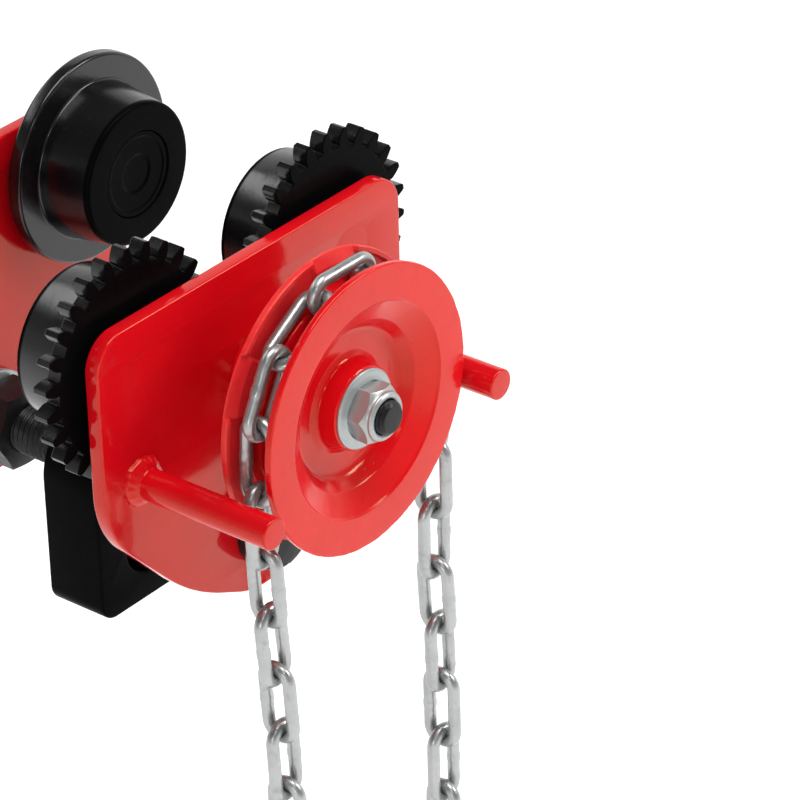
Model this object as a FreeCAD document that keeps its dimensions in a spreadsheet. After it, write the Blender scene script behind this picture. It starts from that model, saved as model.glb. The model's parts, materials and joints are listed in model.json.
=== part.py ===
import FreeCAD, Part
import math
import os
import Sketcher
from FreeCAD import Vector, Placement, Rotation, Matrix

# Geared beam trolley. Millimetres, +Z up, X along the beam, the handwheel on the -Y side.
# The origin is midway between the two side plates, on the plane where the wheel treads roll.

doc = FreeCAD.newDocument("beam_trolley")
sheet = doc.addObject("Spreadsheet::Sheet", "dims")


class Q:
    """A size: its expression for the document and its present value."""

    def __init__(self, e, v):
        self.e = e
        self.v = v

    def __add__(self, o):
        o = q(o)
        return Q("(%s + %s)" % (self.e, o.e), self.v + o.v)

    def __radd__(self, o):
        return q(o) + self

    def __sub__(self, o):
        o = q(o)
        return Q("(%s - %s)" % (self.e, o.e), self.v - o.v)

    def __rsub__(self, o):
        return q(o) - self

    def __mul__(self, o):
        o = q(o)
        return Q("(%s * %s)" % (self.e, o.e), self.v * o.v)

    def __rmul__(self, o):
        return q(o) * self

    def __truediv__(self, o):
        o = q(o)
        return Q("(%s / %s)" % (self.e, o.e), self.v / o.v)

    def __neg__(self):
        return Q("(0 - %s)" % self.e, -self.v)


def q(o):
    return o if isinstance(o, Q) else Q("%.6g" % float(o) if float(o) >= 0 else "(0 - %.6g)" % -float(o), float(o))


row = [0]


def cell(alias, value, note=""):
    row[0] += 1
    r = row[0]
    sheet.set("A%d" % r, alias)
    sheet.set("B%d" % r, "%.6g" % value)
    sheet.setAlias("B%d" % r, alias)
    if note:
        sheet.set("C%d" % r, note)
    return Q("dims." + alias, value)


# ---- driving dimensions -------------------------------------------------------------------
plate_out = cell("plate_out", 71.5, "outer face of each side plate from the mid plane")
plate_t = cell("plate_t", 6.0, "side plate thickness")
plate_half = cell("plate_half", 83.7, "half width of a side plate")
plate_top = cell("plate_top", 51.8, "top edge of a side plate")
plate_side = cell("plate_side", -26.0, "corner where the upright side meets the sloping flank")
plate_knee_x = cell("plate_knee_x", 40.5, "corner where a flank meets the bottom edge")
plate_knee_z = cell("plate_knee_z", -70.9)
plate_apex = cell("plate_apex", -90.0, "where the two bottom edges would meet")
plate_r_top = cell("plate_r_top", 13.5)
plate_r_side = cell("plate_r_side", 40.0)
plate_r_knee = cell("plate_r_knee", 95.0)
plate_r_lobe = cell("plate_r_lobe", 35.0)

wheel_x = cell("wheel_x", 55.1, "wheel axles from the centre, along the beam")
wheel_z = cell("wheel_z", 30.05, "wheel axles above the tread plane")
drive_z = cell("drive_z", 5.5, "drive shaft above the tread plane")
load_z = cell("load_z", -60.5, "load bolt below the tread plane")

flange_out = cell("flange_out", 61.6, "outboard face of the wheel flange or gear")
flange_in = cell("flange_in", 55.1, "inboard face of the wheel flange or gear")
tread_in = cell("tread_in", 32.5, "inboard end of the tread")
tread_big = cell("tread_big", 31.45, "tread radius beside the flange")
tread_small = cell("tread_small", 28.6, "tread radius at the inboard end")
flange_r = cell("flange_r", 42.0, "flange radius of a plain wheel")
wheel_bore = cell("wheel_bore", 17.5, "bearing seat radius")
wheel_lip = cell("wheel_lip", 13.0, "radius of the lip behind the bearing")
brg_out = cell("brg_out", 53.5)
brg_in = cell("brg_in", 42.5)
brg_bore = cell("brg_bore", 7.5)
ball_pitch = cell("ball_pitch", 12.5, "radius of the ball circle")
ball_rad = cell("ball_rad", 2.95)
ball_count = cell("ball_count", 8)
race_rad = cell("race_rad", 3.05)

gear_module = cell("gear_module", 3.175)
gear_teeth = cell("gear_teeth", 26)
pinion_teeth = cell("pinion_teeth", 12)
tooth_slack = cell("tooth_slack", 0.25, "taken off each flank")
pinion_out = cell("pinion_out", 64.0)
pinion_in = cell("pinion_in", 55.0)

hw_front = cell("hw_front", 123.5, "front face of the handwheel")
hw_back = cell("hw_back", 100.9, "rear face of the handwheel")
hw_r = cell("hw_r", 55.0, "handwheel radius")
hw_t = cell("hw_t", 2.5, "thickness of the handwheel discs")
hw_boss = cell("hw_boss", 120.8, "front of the boss under the nut")
drum_r = cell("drum_r", 42.6, "shoulders of the drum, under the links that lie across")
drum_groove = cell("drum_groove", 37.6, "groove of the drum, under the upright links")
drum_bore = cell("drum_bore", 36.0)
hub_r = cell("hub_r", 13.0)
hub_back = cell("hub_back", 99.5)
shaft_end = cell("shaft_end", 134.4)
shaft_tip = cell("shaft_tip", 6.45, "threaded end radius")
shaft_seat = cell("shaft_seat", 8.0, "handwheel seat radius")
shaft_r = cell("shaft_r", 9.0, "journal radius")
shaft_in = cell("shaft_in", 52.9, "inboard end of the shaft")
house_r = cell("house_r", 15.0)
house_out = cell("house_out", 97.7)
bush_od = cell("bush_od", 11.5)
run_gap = cell("run_gap", 0.03, "radial running clearance")

guide_x = cell("guide_x", 64.6)
guide_z = cell("guide_z", -10.7)
guide_r = cell("guide_r", 6.0)
guide_end = cell("guide_end", 132.9)

bolt_r = cell("bolt_r", 10.0)
bolt_head = cell("bolt_head", 13.0, "height of the load bolt's head")
bolt_head_af = cell("bolt_head_af", 22.0, "width across flats of the load bolt's head")
bolt_flange_r = cell("bolt_flange_r", 15.2, "round shoulder under the load bolt's hexagon")
bolt_flange_h = cell("bolt_flange_h", 10.0)
bolt_af = cell("bolt_af", 30.0, "width across flats of the load bolt's nuts")
bolt_end = cell("bolt_end", 111.5)
nut_h = cell("nut_h", 16.0)
washer_t = cell("washer_t", 3.0)
washer_r = cell("washer_r", 18.5)

hang_t = cell("hang_t", 27.0, "hanger thickness")
hang_w = cell("hang_w", 56.0, "hanger width")
hang_low = cell("hang_low", 52.7, "hanger's lower edge below the load bolt")
hang_top = cell("hang_top", 26.0, "hanger's upper edge above the load bolt")
eye_drop = cell("eye_drop", 28.5, "eye below the load bolt")
eye_r = cell("eye_r", 12.5)
collar_r = cell("collar_r", 14.5)
collar_w = cell("collar_w", 8.0)

wire = cell("wire", 4.9, "chain wire")
pitch = cell("pitch", 26.0, "chain pitch")
link_c = cell("link_c", 5.8, "bar centre from the link's middle")
chain_rad = cell("chain_rad", 48.3, "joints of the chain on the handwheel")
chain_y = cell("chain_y", -112.2)
chain_ang = cell("chain_ang", 151.7, "middle of the last upright link held on the handwheel")
doc.recompute()

parts = []
ROT_Y = Rotation(Vector(1, 0, 0), -90)     # local Z to +Y


def keep(label, obj):
    obj.Label = label
    parts.append((label, obj))
    return obj


def plane(body, role):
    for f in body.Origin.OriginFeatures:
        if f.Role == role:
            return f
    raise ValueError(role)


def place(obj, x, y, z):
    for axis, size in (("x", x), ("y", y), ("z", z)):
        if size is not None:
            obj.setExpression("Placement.Base.%s" % axis, q(size).e)


def polygon(sk, pts):
    """A closed run of lines whose corners are bound to the sheet."""
    n = len(pts)
    for i in range(n):
        a, b = pts[i], pts[(i + 1) % n]
        sk.addGeometry(Part.LineSegment(Vector(a[0].v, a[1].v, 0), Vector(b[0].v, b[1].v, 0)), False)
    for i in range(n):
        sk.addConstraint(Sketcher.Constraint("Coincident", i, 2, (i + 1) % n, 1))
    for i, (x, y) in enumerate(pts):
        for kind, size in (("DistanceX", x), ("DistanceY", y)):
            if abs(size.v) < 1e-9:
                sk.addConstraint(Sketcher.Constraint("PointOnObject", i, 1, -2 if kind == "DistanceX" else -1))
                continue
            k = sk.addConstraint(Sketcher.Constraint(kind, -1, 1, i, 1, size.v))
            sk.setExpression("Constraints[%d]" % k, size.e)


def circle(sk, x, y, r):
    g = sk.addGeometry(Part.Circle(Vector(q(x).v, q(y).v, 0), Vector(0, 0, 1), q(r).v), False)
    for kind, size in (("DistanceX", q(x)), ("DistanceY", q(y))):
        if abs(size.v) < 1e-9:
            sk.addConstraint(Sketcher.Constraint("PointOnObject", g, 3, -2 if kind == "DistanceX" else -1))
            continue
        k = sk.addConstraint(Sketcher.Constraint(kind, -1, 1, g, 3, size.v))
        sk.setExpression("Constraints[%d]" % k, size.e)
    k = sk.addConstraint(Sketcher.Constraint("Radius", g, q(r).v))
    sk.setExpression("Constraints[%d]" % k, q(r).e)


def rev(label, pts, x=None, z=None, sign=1, final=True):
    """A turned piece: (radius, y) corners spun about the Y direction."""
    body = doc.addObject("PartDesign::Body", "body_" + label)
    sk = body.newObject("Sketcher::SketchObject", "profile_" + label)
    sk.AttachmentSupport = [(plane(body, "XY_Plane"), "")]
    sk.MapMode = "FlatFace"
    polygon(sk, [(q(r), q(y) if sign > 0 else -q(y)) for r, y in pts])
    turn = body.newObject("PartDesign::Revolution", "turn_" + label)
    turn.Profile = sk
    turn.ReferenceAxis = (sk, ["V_Axis"])
    turn.Angle = 360.0
    body.Tip = turn
    place(body, x, None, z)
    if final:
        keep(label, body)
    return body


def slab(label, pts, holes, y0, depth, away, x=None, z=None):
    """A flat piece: an outline in X and Z with holes, padded along Y from y0."""
    body = doc.addObject("PartDesign::Body", "body_" + label)
    sk = body.newObject("Sketcher::SketchObject", "outline_" + label)
    sk.AttachmentSupport = [(plane(body, "XZ_Plane"), "")]
    sk.MapMode = "FlatFace"
    polygon(sk, [(q(a), q(b)) for a, b in pts])
    for hx, hz, hr in holes:
        circle(sk, hx, hz, hr)
    pad = body.newObject("PartDesign::Pad", "pad_" + label)
    pad.Profile = sk
    pad.setExpression("Length", q(depth).e)
    pad.Reversed = away
    body.Tip = pad
    place(body, x, y0, z)
    return body, pad


def round_edges(body, base, name, radius, spots):
    """Round the edges along Y that pass through the given (x, z) spots, body coordinates."""
    doc.recompute()
    names = []
    for i, e in enumerate(base.Shape.Edges):
        if len(e.Vertexes) != 2:
            continue
        a, b = e.Vertexes[0].Point, e.Vertexes[1].Point
        if abs(a.x - b.x) > 1e-6 or abs(a.z - b.z) > 1e-6:
            continue
        for sx, sz in spots:
            if abs(a.x - sx) < 1e-3 and abs(a.z - sz) < 1e-3:
                names.append("Edge%d" % (i + 1))
    if len(names) != len(spots):
        raise ValueError("edges not found: " + name)
    f = body.newObject("PartDesign::Fillet", name)
    f.Base = (base, names)
    f.setExpression("Radius", q(radius).e)
    body.Tip = f
    return f


def cyl(name, r, y0, y1, x=None, z=None):
    c = doc.addObject("Part::Cylinder", name)
    c.setExpression("Radius", q(r).e)
    c.setExpression("Height", (q(y1) - q(y0)).e)
    c.Placement = Placement(Vector(0, 0, 0), ROT_Y)
    place(c, 0 if x is None else x, y0, 0 if z is None else z)
    return c


def hexa(name, af, y0, y1, x=None, z=None, turn=0):
    p = doc.addObject("Part::Prism", name)
    p.Polygon = 6
    p.setExpression("Circumradius", (q(af) * 0.57735).e)
    p.setExpression("Height", (q(y1) - q(y0)).e)
    p.Placement = Placement(Vector(0, 0, 0), ROT_Y.multiply(Rotation(Vector(0, 0, 1), turn)))
    place(p, 0 if x is None else x, y0, 0 if z is None else z)
    return p


def cut(name, base, *tools):
    out = base
    for i, t in enumerate(tools):
        c = doc.addObject("Part::Cut", "%s_cut%d" % (name, i))
        c.Base = out
        c.Tool = t
        out = c
    return out


def fuse(name, *shapes):
    f = doc.addObject("Part::MultiFuse", name)
    f.Shapes = list(shapes)
    f.Refine = True
    return f


# ---- side plates ----------------------------------------------------------------------------
outline = [(-plate_half, plate_top), (plate_half, plate_top), (plate_half, plate_side), (plate_knee_x, plate_knee_z), (q(0), plate_apex), (-plate_knee_x, plate_knee_z),
           (-plate_half, plate_side)]


def side_plate(label, y0, away, holes):
    body, pad = slab(label, outline, holes, y0, plate_t, away)
    f1 = round_edges(body, pad, "top_round_" + label, plate_r_top, [(-plate_half.v, plate_top.v), (plate_half.v, plate_top.v)])
    f2 = round_edges(body, f1, "side_round_" + label, plate_r_side, [(-plate_half.v, plate_side.v), (plate_half.v, plate_side.v)])
    f3 = round_edges(body, f2, "knee_round_" + label, plate_r_knee, [(-plate_knee_x.v, plate_knee_z.v), (plate_knee_x.v, plate_knee_z.v)])
    round_edges(body, f3, "lobe_round_" + label, plate_r_lobe, [(0.0, plate_apex.v)])
    return keep(label, body)


axle_hole = cell("axle_hole", 9.01)
common_holes = [(wheel_x, wheel_z, axle_hole), (-wheel_x, wheel_z, axle_hole)]
# The XZ sketch plane faces -Y, so a reversed pad grows towards +Y.
side_plate("geared_side_plate", -plate_out, True, common_holes + [(0, drive_z, house_r + 0.01), (0, load_z, bolt_r + 0.1)])
side_plate("plain_side_plate", plate_out, False, common_holes + [(0, load_z, bolt_r + 0.06)])

for side, sx in (("left", -1), ("right", 1)):
    rev(side + "_chain_guide", [(q(0), -plate_out), (guide_r, -plate_out), (guide_r, -guide_end + 0.5), (guide_r - 0.5, -guide_end), (q(0), -guide_end)],
        guide_x * sx, guide_z)

# ---- drive --------------------------------------------------------------------------------
plate_in = plate_out - plate_t
rev("drive_bearing_housing", [(bush_od, -house_out), (house_r - 1, -house_out), (house_r, -house_out + 1), (house_r, -plate_in), (bush_od, -plate_in)], None, drive_z)
rev("front_drive_bush", [(shaft_r + run_gap, -house_out), (bush_od - 0.01, -house_out), (bush_od - 0.01, -house_out + 12), (shaft_r + run_gap, -house_out + 12)], None, drive_z)
rev("rear_drive_bush", [(shaft_r + run_gap, -plate_in - 12), (bush_od - 0.01, -plate_in - 12), (bush_od - 0.01, -plate_in), (shaft_r + run_gap, -plate_in)], None, drive_z)

key_w = cell("key_w", 5.0, "key width")
key_lo = cell("key_lo", 5.5, "bottom of the key seats from the axis")
key_hi = cell("key_hi", 11.0, "top of the keys from the axis")


def key_block(name, w, lo, hi, y0, y1):
    b = doc.addObject("Part::Box", name)
    b.setExpression("Length", q(w).e)
    b.setExpression("Width", (q(y1) - q(y0)).e)
    b.setExpression("Height", (q(hi) - q(lo)).e)
    place(b, -(q(w) / 2), y0, drive_z + lo)
    return b


shaft_blank = rev("drive_shaft_blank", [(q(0), -shaft_end), (shaft_tip - 1.2, -shaft_end), (shaft_tip, -shaft_end + 1.2), (shaft_tip, -hw_boss + 0.6),
                                        (shaft_seat, -hw_boss + 0.6), (shaft_seat, -hub_back), (shaft_r, -hub_back), (shaft_r, -pinion_in + 0.1),
                                        (shaft_r - 0.6, -pinion_in + 0.1), (shaft_r - 0.6, -pinion_in + 1.2), (shaft_r, -pinion_in + 1.2),
                                        (shaft_r, -shaft_in - 0.5), (shaft_r - 0.5, -shaft_in), (q(0), -shaft_in)], None, drive_z, 1, False)
seat1 = key_block("handwheel_key_seat", key_w, key_lo, key_hi, -116.5, -102.5)
seat2 = key_block("pinion_key_seat", key_w, key_lo + 1, key_hi + 1, -63.5, -55.8)
keep("drive_shaft", cut("drive_shaft_part", shaft_blank, seat1, seat2))
keep("handwheel_key", key_block("handwheel_key_part", key_w - 0.04, key_lo + 0.02, key_hi - 0.6, -116.4, -102.6))
keep("pinion_key", key_block("pinion_key_part", key_w - 0.04, key_lo + 1.02, key_hi + 0.4, -63.4, -55.9))


def gear_outline(teeth, module, slack, tip, phase):
    """Corner points, in X and Z, of an involute spur gear with one tooth centred on phase (radians)."""
    rp = teeth * module / 2.0
    rb = rp * math.cos(math.radians(20))
    ra = tip
    rf = rp - 1.3 * module
    inv = math.tan(math.radians(20)) - math.radians(20)
    half = math.pi / (2 * teeth) - slack / rp
    flank = []
    n = 6
    for i in range(n + 1):
        r = max(rb, rf) + (ra - max(rb, rf)) * i / n
        a = math.acos(min(1.0, rb / r))
        flank.append((r, half + inv - (math.tan(a) - a)))
    if rb > rf:
        flank.insert(0, (rf, flank[0][1] - 0.12 * module / rp))
    pts = []
    for k in range(teeth):
        c = phase + 2 * math.pi * k / teeth
        for r, h in flank:
            pts.append((r * math.cos(c - h), r * math.sin(c - h)))
        for r, h in reversed(flank):
            pts.append((r * math.cos(c + h), r * math.sin(c + h)))
    return pts


def toothed(name, pts, bore, y0, y1, x, z):
    """A toothed ring from its outline: lines in one face, drawn out along Y."""
    vs = [Vector(a, y0, b) for a, b in pts]
    wire_out = Part.makePolygon(vs + [vs[0]])
    face = Part.Face(wire_out)
    solid = face.extrude(Vector(0, y1 - y0, 0))
    solid = solid.cut(Part.makeCylinder(bore, y1 - y0 + 2, Vector(0, y0 - 1, 0), Vector(0, 1, 0)))
    f = doc.addObject("Part::Feature", name)
    f.Shape = solid
    f.Placement = Placement(Vector(x, 0, z), Rotation())
    return f


def val(alias):
    return float(sheet.get(alias))


mod = val("gear_module")
n_gear, n_pin = int(val("gear_teeth")), int(val("pinion_teeth"))
tip_pin = mod * n_pin / 2.0 + mod
tip_gear = mod * n_gear / 2.0 + 0.92 * mod
phase_pin = math.radians(76.94)
pin_ring = toothed("pinion_ring", gear_outline(n_pin, mod, val("tooth_slack"), tip_pin, phase_pin), val("shaft_r") + 0.01, -val("pinion_out"), -val("pinion_in"), 0, val("drive_z"))
keep("pinion", cut("pinion_part", pin_ring, key_block("pinion_keyway", key_w, key_lo + 1, key_hi + 0.5, -66, -54)))

rev("pinion_thrust_washer", [(shaft_r + 0.05, -plate_in + 0.15), (q(14), -plate_in + 0.15), (q(14), -pinion_out), (shaft_r + 0.05, -pinion_out)], None, drive_z)
rev("handwheel_thrust_washer", [(shaft_r + 0.05, -hub_back), (q(14), -hub_back), (q(14), -house_out - 0.3), (shaft_r + 0.05, -house_out - 0.3)], None, drive_z)


def circlip(label, r_in, r_out, y0, y1, x, z, slot):
    ring = cyl(label + "_disc", r_out, y0, y1, x, z)
    hole = cyl(label + "_hole", r_in, q(y0) - 1, q(y1) + 1, x, z)
    gap = doc.addObject("Part::Box", label + "_gap")
    gap.setExpression("Length", q(slot).e)
    gap.setExpression("Width", (q(y1) - q(y0) + 2).e)
    gap.setExpression("Height", (q(r_out) + 2).e)
    place(gap, q(0 if x is None else x) - q(slot) / 2, q(y0) - 1, z)
    return keep(label, cut(label + "_part", ring, hole, gap))


circlip("pinion_circlip", shaft_r - 0.58, shaft_r + 2.6, -pinion_in + 0.12, -pinion_in + 1.18, None, drive_z, 5)

# handwheel: two dished discs on a hub, with a drum between them that the chain lies round
face_line = [(hw_r - 0.9, hw_front), (q(41.2), hw_front), (q(40.5), hw_front - 0.6), (q(33.2), hw_front - 4.2), (q(27.6), hw_front - 11.2),
             (q(19.6), hw_front - 11.2), (q(17.2), hw_front - 9.6), (q(16.0), hw_boss - 0.6), (q(15.4), hw_boss), (shaft_seat + 0.05, hw_boss)]
back_line = [(shaft_seat + 0.05, hw_boss - hw_t), (q(13.6), hw_boss - hw_t), (q(14.8), hw_front - 10.6), (q(18.6), hw_front - 13.4), (q(28.8), hw_front - 13.4),
             (q(34.65), hw_front - 6.1), (q(41.0), hw_front - 3.1), (q(42.0), hw_front - hw_t)]
front_pts = face_line + back_line + [(hw_r - 0.9, hw_front - hw_t), (hw_r, hw_front - hw_t + 0.9), (hw_r, hw_front - 0.9)]
rev("handwheel_front_disc", front_pts, None, drive_z, -1)
rear_pts = [(hw_r - 0.9, hw_back), (q(35.5), hw_back), (q(31.5), hw_back + 1.6), (hub_r + 0.02, hw_back + 1.6), (hub_r + 0.02, hw_back + hw_t + 1.6), (q(31.5), hw_back + hw_t + 1.6),
            (q(35.5), hw_back + hw_t), (hw_r - 0.9, hw_back + hw_t), (hw_r, hw_back + hw_t - 0.9), (hw_r, hw_back + 0.9)]
rev("handwheel_rear_disc", rear_pts, None, drive_z, -1)
rev("handwheel_drum", [(drum_r, hw_front - 4.4), (q(39.0), hw_front - 4.9), (drum_bore, hw_front - 6.2), (drum_bore, hw_back + hw_t), (drum_r, hw_back + hw_t), (drum_r, -chain_y - 3.7),
                       (drum_groove, -chain_y - 3.1), (drum_groove, -chain_y + 3.1), (drum_r, -chain_y + 3.7)], None, drive_z, -1)
hub_blank = rev("handwheel_hub_blank", [(shaft_seat + 0.02, hw_boss - hw_t), (hub_r, hw_boss - hw_t), (hub_r, hub_back), (shaft_seat + 0.02, hub_back)], None, drive_z, -1, False)
keep("handwheel_hub", cut("handwheel_hub_part", hub_blank, key_block("hub_keyway", key_w, key_lo, key_hi - 0.5, -119.5, -98)))

nut_flange_r = cell("nut_flange_r", 15.25)
nut_af = cell("nut_af", 20.0)
flange = rev("nut_flange", [(shaft_tip + 0.03, hw_boss), (nut_flange_r, hw_boss), (nut_flange_r, hw_boss + 1.1), (q(11.0), hw_boss + 2.3), (shaft_tip + 0.03, hw_boss + 2.3)], None, drive_z, -1, False)
collar = rev("nut_collar", [(shaft_tip + 0.03, hw_boss + 2.0), (q(9.35), hw_boss + 2.0), (q(9.35), hw_boss + 9.7), (q(8.2), hw_boss + 10.9), (shaft_tip + 0.03, hw_boss + 10.9)], None, drive_z, -1, False)
nut_hex = hexa("nut_hex", nut_af, -hw_boss - 8.0, -hw_boss - 1.0, None, drive_z, 53)
nut_bore = cyl("nut_bore", shaft_tip + 0.03, -hw_boss - 9, -hw_boss + 1, None, drive_z)
keep("handwheel_lock_nut", fuse("handwheel_lock_nut_part", flange, collar, cut("nut_hex_ring", nut_hex, nut_bore)))

# ---- wheels and their bearings ------------------------------------------------------------------
gear_dirs = {"right": math.atan2(val("wheel_z") - val("drive_z"), val("wheel_x")), "left": math.pi - math.atan2(val("wheel_z") - val("drive_z"), val("wheel_x"))}
core = [(wheel_lip, flange_out), (q(20), flange_out), (q(20), flange_in), (tread_big, flange_in), (tread_small, tread_in + 0.8), (tread_small - 0.8, tread_in),
        (wheel_bore, tread_in), (wheel_bore, brg_out), (wheel_lip, brg_out)]
whole = [(wheel_lip, flange_out), (flange_r - 1.2, flange_out), (flange_r, flange_out - 1.2), (flange_r, flange_in + 0.8), (flange_r - 0.8, flange_in), (tread_big, flange_in),
         (tread_small, tread_in + 0.8), (tread_small - 0.8, tread_in), (wheel_bore, tread_in), (wheel_bore, brg_out), (wheel_lip, brg_out)]


def balls(label, x, y, z):
    n, rc, rb = int(val("ball_count")), val("ball_pitch"), val("ball_rad")
    solids = [Part.makeSphere(rb, Vector(rc * math.cos(2 * math.pi * i / n), 0, rc * math.sin(2 * math.pi * i / n))) for i in range(n)]
    f = doc.addObject("Part::Feature", label)
    f.Shape = Part.makeCompound(solids)
    f.Placement = Placement(Vector(x, y, z), Rotation())
    return keep(label, f)


def race(label, r0, r1, sign, x, z):
    lo, hi = (-brg_out, -brg_in) if sign < 0 else (brg_in, brg_out)
    ring = cyl(label + "_ring", r1, lo, hi, x, z)
    hole = cyl(label + "_bore", r0, lo - 1, hi + 1, x, z)
    groove = doc.addObject("Part::Torus", label + "_groove")
    groove.setExpression("Radius1", ball_pitch.e)
    groove.setExpression("Radius2", race_rad.e)
    groove.Placement = Placement(Vector(0, 0, 0), ROT_Y)
    place(groove, x, (lo + hi) / 2, z)
    return keep(label, cut(label + "_part", ring, hole, groove))


for kind, sign in (("geared", -1), ("plain", 1)):
    for side, sx in (("left", -1), ("right", 1)):
        tag = "%s_%s_" % (kind, side)
        x = wheel_x * sx
        if kind == "geared":
            d = gear_dirs[side]
            # a gap of the gear faces the pinion's tooth where they roll together
            gap_at = d + math.pi - (phase_pin - d) * n_pin / n_gear
            phase = gap_at + math.pi / n_gear
            ring = toothed(tag + "teeth", gear_outline(n_gear, mod, val("tooth_slack"), tip_gear, phase), 20.0, -val("flange_out"), -val("flange_in"), x.v, val("wheel_z"))
            body = rev(tag + "core", core, x, wheel_z, sign, False)
            keep(tag + "wheel", fuse(tag + "wheel_part", ring, body))
        else:
            rev(tag + "wheel", whole, x, wheel_z, sign)
        race(tag + "outer_ring", ball_pitch + 2.3, wheel_bore - 0.01, sign, x, wheel_z)
        race(tag + "inner_ring", brg_bore + 0.01, ball_pitch - 2.3, sign, x, wheel_z)
        balls(tag + "bearing_balls", x.v, sign * (val("brg_out") + val("brg_in")) / 2, val("wheel_z"))
        rev(tag + "dust_cap", [(q(0), tread_in + 0.8), (wheel_bore - 0.52, tread_in + 0.8), (wheel_bore - 0.02, tread_in + 1.3), (wheel_bore - 0.02, brg_in), (wheel_bore - 1.7, brg_in),
                               (wheel_bore - 1.7, tread_in + 2.4), (q(0), tread_in + 2.4)], x, wheel_z, sign)
        rev(tag + "axle", [(q(0), plate_out + 0.6), (q(8.2), plate_out + 0.6), (q(9.0), plate_out), (q(9.0), plate_in), (q(10.4), plate_in), (q(10.4), brg_out), (brg_bore, brg_out),
                           (brg_bore, brg_in - 0.02), (brg_bore - 0.5, brg_in - 0.02), (brg_bore - 0.5, brg_in - 1.12), (brg_bore, brg_in - 1.12), (brg_bore, brg_in - 4.5),
                           (brg_bore - 0.8, brg_in - 5.3), (q(0), brg_in - 5.3)], x, wheel_z, sign)
        lo, hi = (brg_in - 1.1, brg_in - 0.05)
        if sign < 0:
            lo, hi = -hi, -lo
        circlip(tag + "axle_circlip", brg_bore - 0.48, brg_bore + 2.0, lo, hi, x, wheel_z, 4)

# ---- load bolt, nuts, hanger ---------------------------------------------------------------------
head = hexa("bolt_head_hex", bolt_head_af, -plate_out - bolt_head, -plate_out - 1, None, load_z, 30)
shank = rev("bolt_shank", [(q(0), -plate_out - bolt_flange_h), (bolt_flange_r - 1, -plate_out - bolt_flange_h), (bolt_flange_r, -plate_out - bolt_flange_h + 1), (bolt_flange_r, -plate_out),
                           (bolt_r, -plate_out), (bolt_r, bolt_end - 1.5), (bolt_r - 1.5, bolt_end), (q(0), bolt_end)], None, load_z, 1, False)
pin_hole = doc.addObject("Part::Cylinder", "split_pin_hole")
pin_hole.Radius = 2.05
pin_hole.Height = 40
pin_hole.setExpression("Placement.Base.y", (bolt_end - 5).e)
pin_hole.setExpression("Placement.Base.z", (load_z - 20).e)
keep("load_bolt", cut("load_bolt_part", fuse("load_bolt_blank", head, shank), pin_hole))


def nut(label, y0, y1):
    return keep(label, cut(label + "_part", hexa(label + "_hex", bolt_af, y0, y1, None, load_z), cyl(label + "_bore", bolt_r + 0.05, q(y0) - 1, q(y1) + 1, None, load_z)))


def ring(label, r0, r1, y0, y1):
    return rev(label, [(q(r0), y0), (q(r1), y0), (q(r1), y1), (q(r0), y1)], None, load_z)


nut("load_bolt_clamp_nut", -plate_in, -plate_in + nut_h)
ring("adjuster_inner_washer", bolt_r + 0.06, washer_r, plate_in - washer_t, plate_in)
nut("adjuster_inner_nut", plate_in - washer_t - nut_h, plate_in - washer_t)
ring("adjuster_outer_washer", bolt_r + 0.06, washer_r, plate_out, plate_out + washer_t)
nut("adjuster_outer_nut", plate_out + washer_t, plate_out + washer_t + nut_h)

# split pin: two legs side by side in the cross hole and a round eye above the bolt
leg = doc.addObject("Part::Cylinder", "split_pin_leg")
leg.Radius = 1.9
leg.Height = 30
place(leg, 0, bolt_end - 5, load_z - 16)
eye = doc.addObject("Part::Torus", "split_pin_eye")
eye.Radius1 = 3.4
eye.Radius2 = 1.4
eye.Placement = Placement(Vector(0, 0, 0), ROT_Y)
place(eye, 0, bolt_end - 5, load_z + 16.5)
keep("load_bolt_split_pin", fuse("load_bolt_split_pin_part", leg, eye))

for side, s in (("front", -1), ("rear", 1)):
    lo, hi = hang_t / 2 + 0.3, hang_t / 2 + 0.3 + collar_w
    rev(side + "_hanger_collar", [(bolt_r + 0.01, lo), (collar_r, lo), (collar_r, hi - 0.8), (collar_r - 0.8, hi), (bolt_r + 0.01, hi)], None, load_z, s)

half_w = hang_w / 2
hanger, hpad = slab("load_hanger", [(-half_w, hang_top), (half_w, hang_top), (half_w, -hang_low), (-half_w, -hang_low)],
                    [(0, 0, bolt_r + 2.5), (0, -eye_drop, eye_r)], -(hang_t / 2), hang_t, True, None, load_z)
f1 = round_edges(hanger, hpad, "hanger_top_round", q(24), [(-half_w.v, hang_top.v), (half_w.v, hang_top.v)])
round_edges(hanger, f1, "hanger_low_round", q(8), [(-half_w.v, -hang_low.v), (half_w.v, -hang_low.v)])
keep("load_hanger", hanger)
rev("hanger_bush", [(bolt_r + 0.05, -(hang_t / 2)), (bolt_r + 2.49, -(hang_t / 2)), (bolt_r + 2.49, hang_t / 2), (bolt_r + 0.05, hang_t / 2)], None, load_z)

# ---- hand chain -----------------------------------------------------------------------------------
# An endless loop of round-wire links, alternately in the wheel's plane and across it. Five links lie on
# the handwheel; the rest hang in two strands that join in a loop below.
p_len, d_wire, c_off = val("pitch"), val("wire"), val("link_c")
# Joints are the wire centres at the ends of the links that lie across the wheel: those links span
# pitch + wire from joint to joint, and the links between them span pitch - wire, less a little play.
span_flat, span_up = p_len + d_wire, p_len - d_wire - 0.1
rad = val("chain_rad")
half_flat, half_up = math.asin(span_flat / 2 / rad), math.asin(span_up / 2 / rad)
ang = math.radians(val("chain_ang")) + half_up
on_wheel = [ang]
for i in range(5):
    on_wheel.append(on_wheel[-1] - 2 * (half_up if i % 2 == 0 else half_flat))
on_wheel = [(rad * math.cos(t), rad * math.sin(t)) for t in on_wheel]


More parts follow.
